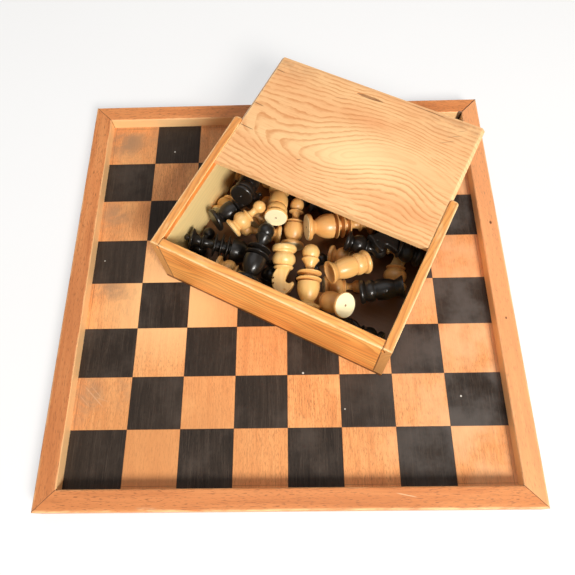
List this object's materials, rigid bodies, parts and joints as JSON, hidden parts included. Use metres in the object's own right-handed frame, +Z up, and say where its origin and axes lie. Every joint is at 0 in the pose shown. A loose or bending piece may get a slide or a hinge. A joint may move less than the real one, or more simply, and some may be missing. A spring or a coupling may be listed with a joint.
{
  "type": "chess set with board",
  "caption": "Wooden chess board with a raised frame, carrying a box with a sliding lid and turned light and dark chess pieces heaped inside.",
  "frame": {"origin": "middle of the board's underside, where it stands on a table", "axes": "+Z up from the table; -Y towards the player of the light pieces, whose left corner square is dark; +X to that player's right"},
  "size_m": [0.3548, 0.3648, 0.066],
  "materials": {
    "panel_plywood": "bare plywood",
    "light_square_veneer": "satin varnish, light veneer",
    "dark_square_veneer": "satin varnish, dark stained veneer",
    "frame_beech": "satin varnish, beech",
    "brad_steel": "dull wire",
    "lid_pine": "satin varnish, pine",
    "box_pine": "satin varnish, pine",
    "light_piece_wood": "satin varnish, turned light wood",
    "dark_piece_lacquer": "gloss black lacquer on turned wood"
  },
  "bodies": {
    "board": {"board_panel": "panel_plywood", "light_squares": "light_square_veneer", "dark_squares": "dark_square_veneer", "frame_rail_front": "frame_beech", "frame_rail_right": "frame_beech", "frame_rail_back": "frame_beech", "frame_rail_left": "frame_beech", "frame_brads": "brad_steel"},
    "box": {"black_bishop_1": "dark_piece_lacquer", "black_bishop_2": "dark_piece_lacquer", "black_king": "dark_piece_lacquer", "black_knight_1_base": "dark_piece_lacquer", "black_knight_1_head": "dark_piece_lacquer", "black_knight_2_base": "dark_piece_lacquer", "black_knight_2_head": "dark_piece_lacquer", "black_pawn_1": "dark_piece_lacquer", "black_pawn_2": "dark_piece_lacquer", "black_pawn_3": "dark_piece_lacquer", "black_pawn_4": "dark_piece_lacquer", "black_pawn_5": "dark_piece_lacquer", "black_pawn_6": "dark_piece_lacquer", "black_pawn_7": "dark_piece_lacquer", "black_pawn_8": "dark_piece_lacquer", "black_rook_1": "dark_piece_lacquer", "black_rook_2": "dark_piece_lacquer", "box_back": "box_pine", "box_bottom": "box_pine", "box_bottom_brads": "brad_steel", "box_corner_brads": "brad_steel", "box_front": "box_pine", "box_left_side": "box_pine", "box_right_side": "box_pine", "white_bishop_1": "light_piece_wood", "white_bishop_2": "light_piece_wood", "white_king": "light_piece_wood", "white_knight_2_base": "light_piece_wood", "white_knight_2_head": "light_piece_wood", "white_pawn_1": "light_piece_wood", "white_pawn_3": "light_piece_wood", "white_pawn_4": "light_piece_wood", "white_pawn_5": "light_piece_wood", "white_pawn_6": "light_piece_wood", "white_pawn_7": "light_piece_wood", "white_pawn_8": "light_piece_wood", "white_queen": "light_piece_wood", "white_rook_1": "light_piece_wood"},
    "lid": {"box_lid": "lid_pine"},
    "black_queen_body": {"black_queen": "dark_piece_lacquer"},
    "white_knight_1_body": {"white_knight_1_base": "light_piece_wood", "white_knight_1_head": "light_piece_wood"},
    "white_pawn_2_body": {"white_pawn_2": "light_piece_wood"},
    "white_rook_2_body": {"white_rook_2": "light_piece_wood"}
  },
  "joints": [
    {"name": "box_lift", "type": "slide", "parent": "board", "child": "box", "axis": [0, 0, 1], "range_m": [0, 0.08]},
    {"name": "lid_slide", "type": "slide", "parent": "box", "child": "lid", "axis": [0.4586, 0.8886, 0], "range_m": [-0.0783, 0.05]},
    {"name": "black_queen_lift", "type": "slide", "parent": "box", "child": "black_queen_body", "axis": [0, 0, 1], "range_m": [0, 0.08]},
    {"name": "white_knight_1_lift", "type": "slide", "parent": "box", "child": "white_knight_1_body", "axis": [0, 0, 1], "range_m": [0, 0.08]},
    {"name": "white_pawn_2_lift", "type": "slide", "parent": "box", "child": "white_pawn_2_body", "axis": [0, 0, 1], "range_m": [0, 0.08]},
    {"name": "white_rook_2_lift", "type": "slide", "parent": "box", "child": "white_rook_2_body", "axis": [0, 0, 1], "range_m": [0, 0.08]}
  ]
}
